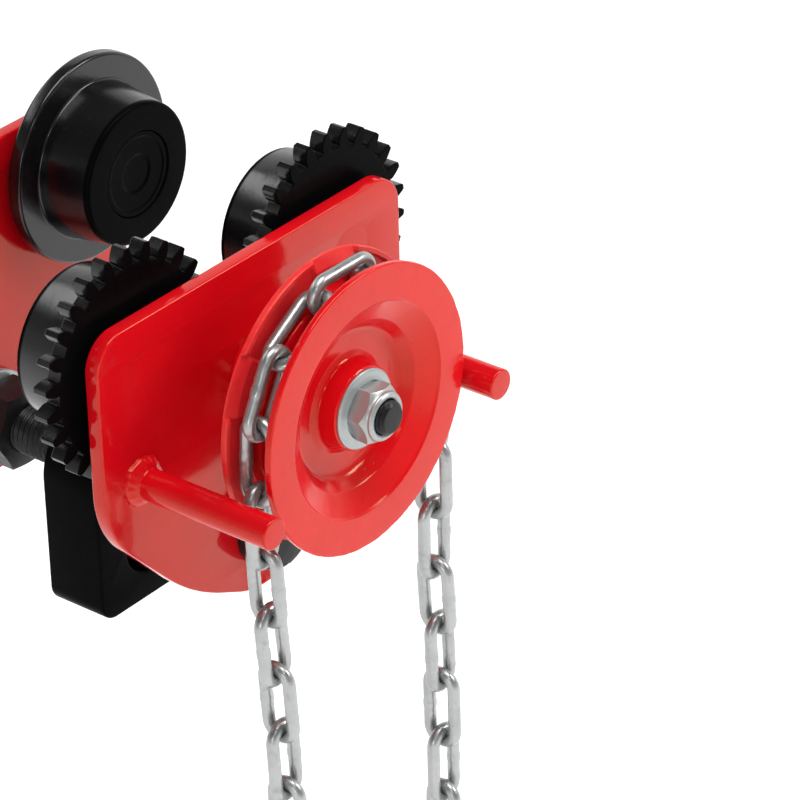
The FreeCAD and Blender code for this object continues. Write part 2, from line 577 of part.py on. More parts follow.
def strand_path(drop):
    """Dense points from the last held joint on the left, down, round the low loop and up on the right."""
    xl, zl = on_wheel[0]
    xr, zr = on_wheel[-1]
    n = 120
    out = []
    left = [(xl, zl), (-48.7, -17.0), (-47.4, -40.5), (-45.4, -71.0), (-43.4, -92.0), (-41.4, -122.0), (-39.6, -158.0)]
    right = [(xr, zr), (48.9, -19.5), (49.3, -41.0), (49.4, -70.0), (49.2, -95.0), (51.0, -121.0), (51.8, -143.0), (52.2, -158.0)]
    out += left
    cx, rad = (left[-1][0] + right[-1][0]) / 2, (right[-1][0] - left[-1][0]) / 2
    out.append((left[-1][0], drop))
    for i in range(1, n):
        a = math.pi + math.pi * i / n
        out.append((cx + rad * math.cos(a), drop + 1.15 * rad * math.sin(a)))
    out.append((right[-1][0], drop))
    out += reversed(right)
    return out


def march(path):
    """Joints along a run of points, spaced as the links need; returns them and the last gap."""
    joints = [path[0]]
    px, pz = path[0]
    i = 0
    cur = path[0]
    while True:
        length = span_flat if len(joints) % 2 == 1 else span_up
        found = None
        j = i
        a = cur
        while j < len(path) - 1:
            b = path[j + 1]
            if math.hypot(b[0] - px, b[1] - pz) >= length:
                lo, hi = 0.0, 1.0
                for _ in range(40):
                    m = (lo + hi) / 2
                    x, z = a[0] + (b[0] - a[0]) * m, a[1] + (b[1] - a[1]) * m
                    if math.hypot(x - px, z - pz) < length:
                        lo = m
                    else:
                        hi = m
                found = (a[0] + (b[0] - a[0]) * hi, a[1] + (b[1] - a[1]) * hi, j)
                break
            j += 1
            a = b
        if found is None:
            return joints, math.hypot(path[-1][0] - px, path[-1][1] - pz)
        px, pz = found[0], found[1]
        i = found[2]
        cur = (px, pz)
        joints.append(cur)


def loop_for(lo, hi, steps):
    """The drop at which the strands hold a whole odd number of links."""
    best = None
    for k in range(steps + 1):
        drop = lo + (hi - lo) * k / steps
        joints, rest = march(strand_path(drop))
        if len(joints) % 2 == 1 and (best is None or abs(rest - span_flat) < best[0]):
            best = (abs(rest - span_flat), drop, joints)
    return best


err, drop, hanging = loop_for(-188.0, -222.0, 200)
err, drop, hanging = loop_for(drop - 0.4, drop + 0.4, 200)
joints = hanging + list(reversed(on_wheel))[:-1]
count = len(joints)
print("chain: %d links, loop closes within %.3f mm, drop %.1f" % (count, err, drop))
if count % 2:
    raise ValueError("the chain needs an even number of links")

a_half = (p_len + d_wire) / 2 - c_off
bar1 = Part.makeCylinder(d_wire / 2, 2 * a_half, Vector(-a_half, c_off, 0), Vector(1, 0, 0))
bar2 = Part.makeCylinder(d_wire / 2, 2 * a_half, Vector(-a_half, -c_off, 0), Vector(1, 0, 0))


def crown(s):
    ring = Part.makeTorus(c_off, d_wire / 2, Vector(s * a_half, 0, 0), Vector(0, 0, 1))
    side = Part.makeBox(60, 60, 60, Vector(s * a_half if s > 0 else s * a_half - 60, -30, -30))
    return ring.common(side)


link = bar1.fuse([bar2, crown(1), crown(-1)]).removeSplitter()
links = []
for i in range(count):
    (x0, z0), (x1, z1) = joints[i], joints[(i + 1) % count]
    ux, uz = x1 - x0, z1 - z0
    ln = math.hypot(ux, uz)
    ux, uz = ux / ln, uz / ln
    u = Vector(ux, 0, uz)
    w = Vector(0, 1, 0) if i % 2 == 0 else Vector(-uz, 0, ux)
    n = u.cross(w)
    m = Matrix(u.x, w.x, n.x, (x0 + x1) / 2, u.y, w.y, n.y, 0, u.z, w.z, n.z, (z0 + z1) / 2, 0, 0, 0, 1)
    s = link.copy()
    s.Placement = Placement(m)
    links.append(s)
chain = doc.addObject("Part::Feature", "hand_chain")
chain.Shape = Part.makeCompound(links)
chain.Placement = Placement(Vector(0, val("chain_y"), val("drive_z")), Rotation())
keep("hand_chain", chain)

# ---- check and write --------------------------------------------------------------------------------
doc.recompute()
bad = [o.Label for o in doc.Objects if "Invalid" in o.State or "Error" in o.State]
for label, obj in parts:
    if obj.Shape.isNull() or not obj.Shape.isValid() or len(obj.Shape.Solids) < 1:
        bad.append(label + " (shape)")
if bad:
    raise RuntimeError("failed objects: " + ", ".join(bad))
os.makedirs("parts", exist_ok=True)
for label, obj in parts:
    obj.Shape.exportStep("parts/%s.step" % label)
    bb = obj.Shape.BoundBox
    print("%-26s solids %2d vol %9.1f  x %.1f %.1f  y %.1f %.1f  z %.1f %.1f" % (label, len(obj.Shape.Solids), obj.Shape.Volume, bb.XMin, bb.XMax, bb.YMin, bb.YMax, bb.ZMin, bb.ZMax))
print(len(parts), "pieces")
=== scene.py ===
import json
import math
import random

import bmesh
import bpy
from mathutils import Matrix, Vector, noise


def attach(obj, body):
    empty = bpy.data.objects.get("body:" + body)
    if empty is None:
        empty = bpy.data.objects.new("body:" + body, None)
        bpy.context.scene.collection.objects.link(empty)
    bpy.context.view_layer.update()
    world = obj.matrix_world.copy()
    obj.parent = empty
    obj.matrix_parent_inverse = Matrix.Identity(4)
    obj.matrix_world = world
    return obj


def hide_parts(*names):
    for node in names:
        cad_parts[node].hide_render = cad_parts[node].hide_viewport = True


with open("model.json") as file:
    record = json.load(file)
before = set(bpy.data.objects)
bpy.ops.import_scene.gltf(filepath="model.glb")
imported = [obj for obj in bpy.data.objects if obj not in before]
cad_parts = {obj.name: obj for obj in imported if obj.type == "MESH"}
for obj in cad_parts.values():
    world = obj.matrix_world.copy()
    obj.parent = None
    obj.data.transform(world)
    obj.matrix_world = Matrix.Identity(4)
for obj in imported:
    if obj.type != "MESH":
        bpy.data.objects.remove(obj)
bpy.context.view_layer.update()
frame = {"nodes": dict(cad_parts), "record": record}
NODES = frame["nodes"]
MM = 0.001
random.seed(7)

# ---------------------------------------------------------------------------------------------
# sizes repeated from the model, in millimetres
# ---------------------------------------------------------------------------------------------
PLATE_OUT, PLATE_IN = 71.5, 65.5
WHEEL_X, WHEEL_Z = 55.1, 30.05
DRIVE_Z, LOAD_Z = 5.5, -60.5

# ---------------------------------------------------------------------------------------------
# camera: the photograph's viewing angle
# ---------------------------------------------------------------------------------------------
AZ, EL, ROLL = math.radians(-50.86), math.radians(29.94), math.radians(-1.47)
TARGET = Vector((17.353, -123.5, 1.751)) * MM
DIST = 1558.4 * MM
back = Vector((math.sin(AZ) * math.cos(EL), -math.cos(AZ) * math.cos(EL), math.sin(EL)))
right = Vector((math.cos(AZ), math.sin(AZ), 0.0))
up = back.cross(right)
r2 = right * math.cos(ROLL) + up * math.sin(ROLL)
u2 = up * math.cos(ROLL) - right * math.sin(ROLL)
cam_data = bpy.data.cameras.new("camera")
cam_data.sensor_fit = "HORIZONTAL"
cam_data.sensor_width = 36.0
cam_data.lens = 4354.64 / 800.0 * 36.0
cam_data.clip_start = 0.05
cam_data.clip_end = 60.0
cam = bpy.data.objects.new("camera", cam_data)
bpy.context.scene.collection.objects.link(cam)
pos = TARGET + back * DIST
cam.matrix_world = Matrix(((r2.x, u2.x, back.x, pos.x), (r2.y, u2.y, back.y, pos.y), (r2.z, u2.z, back.z, pos.z), (0, 0, 0, 1)))
bpy.context.scene.camera = cam


# ---------------------------------------------------------------------------------------------
# materials
# ---------------------------------------------------------------------------------------------
class Nodes:
    """A small helper that adds shader nodes and links them."""

    def __init__(self, name):
        self.mat = bpy.data.materials.new(name)
        self.mat.use_nodes = True
        self.t = self.mat.node_tree
        self.t.nodes.clear()
        self.out = self.t.nodes.new("ShaderNodeOutputMaterial")
        self.bsdf = self.t.nodes.new("ShaderNodeBsdfPrincipled")
        self.t.links.new(self.bsdf.outputs["BSDF"], self.out.inputs["Surface"])
        self.co = self.t.nodes.new("ShaderNodeTexCoord").outputs["Object"]

    def link(self, a, b):
        self.t.links.new(a, b)

    def noise(self, scale, detail=3.0, rough=0.55, distort=0.0, co=None):
        n = self.t.nodes.new("ShaderNodeTexNoise")
        n.inputs["Scale"].default_value = scale
        n.inputs["Detail"].default_value = detail
        n.inputs["Roughness"].default_value = rough
        n.inputs["Distortion"].default_value = distort
        self.link(co or self.co, n.inputs["Vector"])
        return n.outputs["Fac"]

    def stretch(self, sx, sy, sz):
        m = self.t.nodes.new("ShaderNodeMapping")
        m.inputs["Scale"].default_value = (sx, sy, sz)
        self.link(self.co, m.inputs["Vector"])
        return m.outputs["Vector"]

    def voronoi(self, scale, feature="F1"):
        n = self.t.nodes.new("ShaderNodeTexVoronoi")
        n.feature = feature
        n.inputs["Scale"].default_value = scale
        self.link(self.co, n.inputs["Vector"])
        return n.outputs["Distance"]

    def ramp(self, fac, stops):
        n = self.t.nodes.new("ShaderNodeValToRGB")
        e = n.color_ramp.elements
        while len(e) < len(stops):
            e.new(0.5)
        for i, (p, c) in enumerate(stops):
            e[i].position = p
            e[i].color = (c[0], c[1], c[2], 1.0) if isinstance(c, tuple) else (c, c, c, 1.0)
        self.link(fac, n.inputs["Fac"])
        return n.outputs["Color"]

    def range(self, fac, lo, hi, a=0.0, b=1.0):
        n = self.t.nodes.new("ShaderNodeMapRange")
        n.inputs["From Min"].default_value = a
        n.inputs["From Max"].default_value = b
        n.inputs["To Min"].default_value = lo
        n.inputs["To Max"].default_value = hi
        self.link(fac, n.inputs["Value"])
        return n.outputs["Result"]

    def math(self, op, a, b):
        n = self.t.nodes.new("ShaderNodeMath")
        n.operation = op
        for i, v in enumerate((a, b)):
            if isinstance(v, (int, float)):
                n.inputs[i].default_value = v
            else:
                self.link(v, n.inputs[i])
        return n.outputs[0]

    def mix(self, fac, a, b):
        n = self.t.nodes.new("ShaderNodeMix")
        n.data_type = "RGBA"
        for sock, v in ((n.inputs["Factor"], fac), (n.inputs[6], a), (n.inputs[7], b)):
            if isinstance(v, (int, float)):
                sock.default_value = v
            elif isinstance(v, tuple):
                sock.default_value = (v[0], v[1], v[2], 1.0)
            else:
                self.link(v, sock)
        return n.outputs[2]

    def bump(self, layers):
        """layers: (height socket, strength, distance in metres), chained."""
        last = None
        for h, s, d in layers:
            b = self.t.nodes.new("ShaderNodeBump")
            b.inputs["Strength"].default_value = s
            b.inputs["Distance"].default_value = d
            self.link(h, b.inputs["Height"])
            if last is not None:
                self.link(last, b.inputs["Normal"])
            last = b.outputs["Normal"]
        self.link(last, self.bsdf.inputs["Normal"])

    def pointiness(self):
        return self.t.nodes.new("ShaderNodeNewGeometry").outputs["Pointiness"]

    def set(self, **k):
        for name, v in k.items():
            s = self.bsdf.inputs[name.replace("_", " ")]
            if isinstance(v, tuple) and len(v) == 3:
                s.default_value = (v[0], v[1], v[2], 1.0)
            elif isinstance(v, (int, float)):
                s.default_value = v
            else:
                self.link(v, s)


def red_enamel(name, cast, painted_light_gain=1.0, painted_sheen=0.0):
    """Glossy red paint: over smooth plate, or thicker and lumpier over a casting. The third argument scales the red up
    or down as painted light or shade; the fourth lifts green and blue evenly as a painted sheen, a pale painted
    reflection, and also widens the roughness.
    """
    m = Nodes(name)
    cloud = m.noise(22.0, 3.0)
    fine = m.noise(190.0, 4.0)
    # painted light or shade scales the red channel here, and the painted sheen lifts green and blue evenly
    col = m.ramp(cloud, [(0.25, (0.62 * painted_light_gain, 0.0025 + painted_sheen, 0.008 + painted_sheen)), (0.55, (0.69 * painted_light_gain, 0.0035 + painted_sheen, 0.009 + painted_sheen)), (0.8, (0.74 * painted_light_gain, 0.005 + painted_sheen, 0.010 + painted_sheen))])
    col = m.mix(m.range(fine, 0.0, 0.10, 0.55, 0.8), col, (0.50, 0.002, 0.006))
    speck = m.ramp(m.noise(620.0, 1.0), [(0.70, 0.0), (0.76, 1.0)])
    col = m.mix(m.math("MULTIPLY", speck, 0.30), col, (0.32, 0.004, 0.006))
    m.set(Base_Color=col)
    lo, hi = (0.12 + 12.0 * painted_sheen, 0.22 + 12.0 * painted_sheen) if cast else (0.07, 0.15)
    m.set(Roughness=m.range(m.noise(48.0, 4.0), lo, hi, 0.3, 0.75), IOR=1.45, Specular_Tint=(1.0, 0.90, 0.55))
    peel = m.noise(420.0 if not cast else 330.0, 2.0, 0.5)
    wave = m.noise(55.0 if not cast else 85.0, 2.0, 0.5)
    m.bump([(wave, 0.10 if not cast else 0.18, 0.0016), (peel, 0.05 if not cast else 0.08, 0.0005), (speck, 0.10, 0.0003)])
    return m.mat


def black_enamel(name):
    """Black paint over a turned and cast wheel; the flat end faces are painted darker as painted shade, and also get
    more roughness and a lower IOR.
    """
    m = Nodes(name)
    cloud = m.noise(40.0, 4.0)
    col = m.ramp(cloud, [(0.3, (0.0025, 0.0025, 0.003)), (0.7, (0.006, 0.006, 0.0065))])
    dust = m.ramp(m.noise(520.0, 2.0), [(0.66, 0.0), (0.74, 1.0)])
    col = m.mix(m.math("MULTIPLY", dust, 0.35), col, (0.022, 0.022, 0.023))
    sep = m.t.nodes.new("ShaderNodeSeparateXYZ")
    m.link(m.co, sep.inputs["Vector"])
    side = m.math("ABSOLUTE", sep.outputs["Y"], 0.0)
    flat = m.math("MAXIMUM", m.range(side, 0.0, 1.0, 0.0609, 0.0613), m.range(side, 1.0, 0.0, 0.0345, 0.0352))
    # painted shade: on the flat end faces the colour is pulled towards near-black
    m.set(Base_Color=m.mix(m.math("MULTIPLY", flat, 0.6), col, (0.0015, 0.0015, 0.0016)))
    m.set(Roughness=m.math("ADD", m.range(m.noise(70.0, 4.0), 0.17, 0.25, 0.3, 0.75), m.math("MULTIPLY", flat, 0.06)))
    m.set(IOR=m.range(flat, 1.50, 1.07))
    m.bump([(m.noise(130.0, 3.0), 0.07, 0.0012), (m.noise(560.0, 2.0), 0.07, 0.0004)])
    return m.mat


def zinc(name, tint, rough_lo, rough_hi, mottle, metal=1.0):
    """Zinc plating on wire or turned steel."""
    m = Nodes(name)
    cloud = m.noise(110.0, 4.0)
    brush = m.noise(520.0, 3.0, 0.6)
    a = tuple(c * (1.0 - 0.34 * mottle) for c in tint)
    b = tuple(min(1.0, c * (1.0 + 0.20 * mottle)) for c in tint)
    col = m.ramp(cloud, [(0.30, a), (0.52, tint), (0.74, b)])
    dull = m.ramp(m.noise(260.0, 3.0), [(0.58, 0.0), (0.70, 1.0)])
    col = m.mix(m.math("MULTIPLY", dull, 0.45 * mottle), col, tuple(c * 0.45 for c in tint))
    m.set(Base_Color=col, Metallic=metal)
    m.set(Roughness=m.math("ADD", m.range(brush, rough_lo, rough_hi, 0.3, 0.7), m.math("MULTIPLY", dull, 0.12)))
    m.bump([(m.noise(150.0, 2.0), 0.10 * mottle, 0.0008), (m.noise(420.0, 2.0), 0.03, 0.0002)])
    return m.mat


def oxide(name, base, metal, rough):
    """Black-oxide steel: dark, with lighter and darker patches at random."""
    m = Nodes(name)
    cloud = m.noise(120.0, 4.0)
    col = m.ramp(cloud, [(0.3, tuple(c * 0.7 for c in base)), (0.6, base), (0.85, tuple(c * 1.7 for c in base))])
    m.set(Base_Color=col, Metallic=metal)
    m.set(Roughness=m.range(m.noise(240.0, 3.0), rough - 0.08, rough + 0.12, 0.3, 0.75), Specular_IOR_Level=0.3)
    m.bump([(m.noise(420.0, 3.0), 0.12, 0.0004)])
    return m.mat


def bronze_mat(name):
    m = Nodes(name)
    col = m.ramp(m.noise(150.0, 4.0), [(0.3, (0.42, 0.25, 0.09)), (0.7, (0.66, 0.44, 0.19))])
    m.set(Base_Color=col, Metallic=1.0, Roughness=m.range(m.noise(300.0, 3.0), 0.25, 0.45, 0.3, 0.7))
    m.bump([(m.noise(500.0, 2.0), 0.08, 0.0003)])
    return m.mat


# This copy of the red paint is darkened (0.92) as painted shade; it covers the side plates, guide bars, stub axles and
# the red parts kept as modelled.
RED = red_enamel("red_enamel_plate_shaded", False, 0.92)
RED_CAST = red_enamel("red_enamel_cast", True)
# The rear disc's copy of the red paint is brightened (1.18) as painted light and given a painted sheen (0.018 added to
# green and blue) as a pale painted reflection.
RED_REAR_LIT = red_enamel("red_enamel_rear_disc_lit", True, 1.18, 0.018)
BLACK = black_enamel("black_enamel")
ZINC_CHAIN = zinc("zinc_chain", (0.43, 0.445, 0.44), 0.26, 0.38, 0.3, 0.8)
ZINC_NUT = zinc("zinc_nut", (0.40, 0.435, 0.43), 0.30, 0.40, 0.10, 0.6)
STEEL = zinc("bearing_steel", (0.60, 0.60, 0.60), 0.12, 0.24, 0.4)
OXIDE = oxide("black_oxide", (0.014, 0.014, 0.015), 0.3, 0.38)
SPRING = oxide("spring_steel", (0.06, 0.06, 0.065), 0.8, 0.32)
BRONZE = bronze_mat("bronze")


# ---------------------------------------------------------------------------------------------
# mesh helpers; all take millimetres in the part's own frame
# ---------------------------------------------------------------------------------------------
def fillet(pts, radii, closed=True, steps=5):
    """Rounds the corners of a run of 2-D points; radii is one number or one per point."""
    n = len(pts)
    if isinstance(radii, (int, float)):
        radii = [radii] * n
    out = []
    for i in range(n):
        p = Vector(pts[i])
        if radii[i] <= 0 or (not closed and i in (0, n - 1)):
            out.append((p.x, p.y))
            continue
        a, b = Vector(pts[i - 1]), Vector(pts[(i + 1) % n])
        va, vb = a - p, b - p
        la, lb = va.length, vb.length
        if la < 1e-9 or lb < 1e-9:
            out.append((p.x, p.y))
            continue
        va /= la
        vb /= lb
        cosang = max(-1.0, min(1.0, va.dot(vb)))
        ang = math.acos(cosang)
        if ang > math.pi - 1e-3:
            out.append((p.x, p.y))
            continue
        t = min(radii[i] / math.tan(ang / 2), 0.48 * la, 0.48 * lb)
        r = t * math.tan(ang / 2)
        bis = (va + vb).normalized()
        c = p + bis * (r / math.sin(ang / 2))
        s, e = p + va * t, p + vb * t
        a0 = math.atan2(s.y - c.y, s.x - c.x)
        a1 = math.atan2(e.y - c.y, e.x - c.x)
        d = a1 - a0
        while d > math.pi:
            d -= 2 * math.pi
        while d < -math.pi:
            d += 2 * math.pi
        k = max(2, int(steps * abs(d) / 0.8) + 1)
        for j in range(k + 1):
            q = a0 + d * j / k
            out.append((c.x + r * math.cos(q), c.y + r * math.sin(q)))
    return out


def finish_mesh(name, bm, mat, sharp=32.0):
    bmesh.ops.remove_doubles(bm, verts=bm.verts, dist=1e-7)
    bmesh.ops.recalc_face_normals(bm, faces=bm.faces)
    me = bpy.data.meshes.new(name)
    bm.to_mesh(me)
    bm.free()
    me.materials.append(mat)
    me.shade_smooth()
    me.set_sharp_from_angle(angle=math.radians(sharp))
    ob = bpy.data.objects.new(name, me)
    bpy.context.scene.collection.objects.link(ob)
    return ob


def add_lathe(bm, prof, x, z, segs=160, warp=None, y_sign=1.0):
    """Spins a closed (radius, y) outline about the Y direction through (x, z)."""
    rings = []
    for r, y in prof:
        if r < 1e-6:
            rings.append([bm.verts.new((x * MM, y_sign * y * MM, z * MM))])
            continue
        ring = []
        for i in range(segs):
            t = 2 * math.pi * i / segs
            rr, yy = warp(r, y, t) if warp else (r, y)
            ring.append(bm.verts.new(((x + rr * math.cos(t)) * MM, y_sign * yy * MM, (z + rr * math.sin(t)) * MM)))
        rings.append(ring)
    n = len(rings)
    for k in range(n):
        a, b = rings[k], rings[(k + 1) % n]
        if len(a) == 1 and len(b) == 1:
            continue
        for i in range(segs):
            j = (i + 1) % segs
            if len(a) == 1:
                bm.faces.new((a[0], b[i], b[j]))
            elif len(b) == 1:
                bm.faces.new((a[i], b[0], a[j]))
            else:
                bm.faces.new((a[i], b[i], b[j], a[j]))


def lathe(name, prof, x, z, mat, segs=160, warp=None, y_sign=1.0, sharp=32.0):
    bm = bmesh.new()
    add_lathe(bm, prof, x, z, segs, warp, y_sign)
    return finish_mesh(name, bm, mat, sharp)


def slab_mesh(name, loops, y0, y1, bevel, mat, res=3, sharp=32.0):
    """A flat piece with holes and rounded edges: loops of (x, z), from y0 to y1."""
    cu = bpy.data.curves.new(name + "_curve", "CURVE")
    cu.dimensions = "2D"
    cu.fill_mode = "BOTH"
    cu.extrude = ((y1 - y0) / 2 - bevel) * MM
    cu.bevel_depth = bevel * MM
    cu.bevel_resolution = res
    cu.offset = -bevel * MM
    for loop in loops:
        sp = cu.splines.new("POLY")
        sp.points.add(len(loop) - 1)
        for p, (a, b) in zip(sp.points, loop):
            p.co = (a * MM, b * MM, 0.0, 1.0)
        sp.use_cyclic_u = True
    tmp = bpy.data.objects.new(name + "_tmp", cu)
    bpy.context.scene.collection.objects.link(tmp)
    dg = bpy.context.evaluated_depsgraph_get()
    me = bpy.data.meshes.new_from_object(tmp.evaluated_get(dg))
    bpy.data.objects.remove(tmp)
    bpy.data.curves.remove(cu)
    bm = bmesh.new()
    bm.from_mesh(me)
    bpy.data.meshes.remove(me)
    mid = (y0 + y1) / 2 * MM
    for v in bm.verts:
        a, b, c = v.co
        v.co = (a, mid + c, b)
    return finish_mesh(name, bm, mat, sharp)


def arc_loop(cx, cz, r, n=72, flip=False):
    pts = [(cx + r * math.cos(2 * math.pi * i / n), cz + r * math.sin(2 * math.pi * i / n)) for i in range(n)]
    return pts[::-1] if flip else pts


def add_hex(bm, af, y0, y1, x, z, bore, chamfer0, chamfer1, turn=0.0, segs=120):
    """A hexagon from y0 to y1 with a bore and the curved corners that a turned chamfer leaves."""
    apo = af / 2
    rc = apo * 0.985

    def rad(t):
        u = (t - turn + math.pi / 6) % (math.pi / 3) - math.pi / 6
        return apo / math.cos(u + 0.0)

    rows = []
    # the corner of the hexagon points along +X when turn is 0
    for kind in ("in0", "edge0", "side0", "side1", "edge1", "in1"):
        ring = []
        for i in range(segs):
            t = 2 * math.pi * i / segs
            u = (t - turn) % (math.pi / 3) - math.pi / 6
            r = apo / math.cos(u)
            drop = max(0.0, (r - rc) * 0.5)
            if kind == "in0":
                rr, y = bore, y0
            elif kind == "edge0":
                rr, y = (min(r, rc), y0) if chamfer0 else (r, y0)
            elif kind == "side0":
                rr, y = r, y0 + (drop if chamfer0 else 0.0)
            elif kind == "side1":
                rr, y = r, y1 - (drop if chamfer1 else 0.0)
            elif kind == "edge1":
                rr, y = (min(r, rc), y1) if chamfer1 else (r, y1)
            else:
                rr, y = bore, y1
            ring.append(bm.verts.new(((x + rr * math.cos(t)) * MM, y * MM, (z + rr * math.sin(t)) * MM)))
        rows.append(ring)
    n = len(rows)
    for k in range(n):
        a, b = rows[k], rows[(k + 1) % n]
        for i in range(segs):
            j = (i + 1) % segs
            va, vb, vc, vd = a[i], b[i], b[j], a[j]
            if (va.co - vb.co).length < 1e-9 and (vc.co - vd.co).length < 1e-9:
                continue
            bm.faces.new((va, vb, vc, vd))


def use(piece, body, node, slot, *more):
    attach(piece, body)
    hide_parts(node, *more)


# ---------------------------------------------------------------------------------------------
# side plates
# ---------------------------------------------------------------------------------------------
def plate_outline():
    corners = [(-83.7, 51.8), (83.7, 51.8), (83.7, -26.0), (40.5, -70.9), (0.0, -90.0), (-40.5, -70.9), (-83.7, -26.0)]
    return fillet(corners, [13.5, 13.5, 40.0, 95.0, 35.0, 95.0, 40.0], True, 20)


geared_plate = slab_mesh("geared_plate", [plate_outline(), arc_loop(WHEEL_X, WHEEL_Z, 8.9, 72, True), arc_loop(-WHEEL_X, WHEEL_Z, 8.9, 72, True),
                                          arc_loop(0, DRIVE_Z, 15.0, 72, True), arc_loop(0, LOAD_Z, 10.1, 72, True)], -PLATE_OUT, -PLATE_IN, 0.7, RED)
use(geared_plate, "frame", "geared_side_plate", "red_enamel")
plain_plate = slab_mesh("plain_plate", [plate_outline(), arc_loop(WHEEL_X, WHEEL_Z, 8.9, 72, True), arc_loop(-WHEEL_X, WHEEL_Z, 8.9, 72, True),
                                        arc_loop(0, LOAD_Z, 10.1, 72, True)], PLATE_IN, PLATE_OUT, 0.7, RED)
use(plain_plate, "plain_side", "plain_side_plate", "red_enamel")

# chain guide bars, with a weld bead round the foot
for side, sx in (("left", -1), ("right", 1)):
    def bead(r, y, t, s=sx):
        if y < 75.7:
            k = noise.noise((math.cos(t) * 2.6 + s * 5, math.sin(t) * 2.6, y * 0.3))
            w = math.sin(t * 17 + s) * 0.12
            return r + (k * 0.5 + w) * max(0.0, min(1.0, (r - 6.05) / 1.0)), y
        return r, y
    prof = [(0.0, 71.52), (9.6, 71.52)] + fillet([(9.6, 71.52), (9.3, 72.9), (7.6, 74.8), (6.0, 75.8), (6.0, 132.9), (0.0, 132.9)], [0, 1.0, 1.2, 0.8, 0.7, 0], False, 5)[1:]
    bar = lathe(side + "_guide_bar", prof, sx * 64.6, -10.7, RED, 96, bead, -1.0, 40.0)
    use(bar, "frame", side + "_chain_guide", "red_enamel")

# ---------------------------------------------------------------------------------------------
# handwheel
# ---------------------------------------------------------------------------------------------
def smooth(a, b, v):
    k = max(0.0, min(1.0, (v - a) / (b - a)))
    return k * k * (3 - 2 * k)


def land(t):
    """1 on the five lands beside the upright links, 0 beside the flat ones."""
    deg = (math.degrees(t) - 81.0) % 72.0
    return 1.0 - smooth(12.1, 13.3, min(deg, 72.0 - deg))


def pocket(r, t):
    """0 on the rim lip and the ribs, 1 in the pockets between them."""
    lip = 1.0 - smooth(52.3, 53.1, r)
    foot = smooth(43.0, 43.8, r)
    return (1.0 - land(t)) * lip * foot


def rim_noise(r, y, t, seed, amp):
    k = smooth(51.5, 54.2, r) * amp
    a = noise.noise((math.cos(t) * 9 + seed, math.sin(t) * 9, y * 0.22))
    b = noise.noise((math.cos(t) * 31 + seed, math.sin(t) * 31, y * 0.5))
    return k * (0.7 * a + 0.5 * b)


face = [(55.0, 122.1), (55.0, 123.5), (41.3, 123.5), (40.4, 122.7), (32.4, 118.4), (28.3, 112.3), (19.6, 112.3), (17.0, 113.6), (15.9, 120.3), (15.4, 120.8), (7.2, 120.8)]
face_r = [0, 1.15, 0.5, 0.8, 1.8, 4.5, 3.0, 2.2, 0.4, 0.4, 0]
inner = [(7.2, 118.3), (13.5, 118.3), (14.7, 113.0), (18.6, 110.1), (28.8, 110.1), (34.65, 117.4), (41.0, 120.4), (43.0, 120.9)]
inner_r = [0, 0.8, 2.0, 2.4, 2.4, 1.2, 0.8, 0.6]
front_prof = fillet(face, face_r, False, 7) + fillet(inner, inner_r, False, 6)
front_prof += [(43.0 + 0.35 * i, 120.9) for i in range(1, 30)] + fillet([(53.4, 120.9), (55.0, 120.9), (55.0, 122.1)], [0, 0.9, 0], False, 5)[:-1]


def front_warp(r, y, t):
    if y < 121.0 and r > 42.4:
        y = 120.8 + 0.9 * pocket(r, t)
    n = rim_noise(r, y, t, 3.1, 0.24)
    return r + n * 0.8, y + n * 0.5


hw_front = lathe("handwheel_front", front_prof, 0, DRIVE_Z, RED_CAST, 480, front_warp, -1.0, 42.0)
use(hw_front, "drive", "handwheel_front_disc", "red_enamel")

rear = [(55.0, 102.1), (55.0, 100.9), (35.5, 100.9), (31.5, 102.5), (13.0, 102.5), (13.0, 105.0), (31.5, 105.0), (35.5, 103.4), (43.0, 103.5)]
rear_prof = fillet(rear, [0, 1.1, 3.0, 3.0, 0, 0, 3.0, 2.0, 0], False, 6)
rear_prof += [(43.0 + 0.35 * i, 103.5) for i in range(1, 30)] + fillet([(53.4, 103.5), (55.0, 103.5), (55.0, 102.1)], [0, 1.0, 0], False, 5)[:-1]


def rear_warp(r, y, t):
    if y > 103.35 and r > 42.4:
        y = 103.7 - 1.6 * pocket(r, t)
    if y > 101.0 and r > 50.0:
        y = 101.0 + (y - 101.0) * (1.0 - 0.15 * land(t) * (r - 50.0))
    n = rim_noise(r, y, t, 11.7, 0.30)
    return r + n * 0.8, y + n * 0.7


# The rear disc wears the brightened red paint with its painted sheen.
hw_rear = lathe("handwheel_rear", rear_prof, 0, DRIVE_Z, RED_REAR_LIT, 480, rear_warp, -1.0, 42.0)
use(hw_rear, "drive", "handwheel_rear_disc", "red_enamel")

drum_prof = fillet([(36.1, 117.3), (39.0, 118.6), (42.6, 119.1), (42.6, 115.9), (41.6, 115.4), (37.6, 115.0), (37.6, 109.4), (41.6, 109.0), (42.6, 108.5), (42.6, 103.2), (36.1, 103.2)],
                   [0, 0, 0.4, 0.8, 0.3, 1.6, 1.6, 0.3, 0.8, 0.4, 0], True, 4)
drum = lathe("handwheel_groove", drum_prof, 0, DRIVE_Z, RED_CAST, 360, None, -1.0, 40.0)
use(drum, "drive", "handwheel_drum", "red_enamel")

# lock nut: a flange, a hexagon and a rolled collar. The hexagon is cut into a turned outline that stands in
# the flange's cone, so both ends of it have the curved edges that a real one has.
def stations(prof, step):
    out = []
    for i in range(len(prof) - 1):
        (ra, ya), (rb, yb) = prof[i], prof[i + 1]
        n = max(1, int(math.hypot(rb - ra, yb - ya) / step))
        out += [(ra + (rb - ra) * k / n, ya + (yb - ya) * k / n) for k in range(n)]
    return out + [prof[-1]]


def nut_warp(r, y, t):
    if y < 129.6 and r > 9.45:
        u = (t - math.radians(53)) % (math.pi / 3) - math.pi / 6
        return min(r, 10.0 / math.cos(u)), y
    return r, y


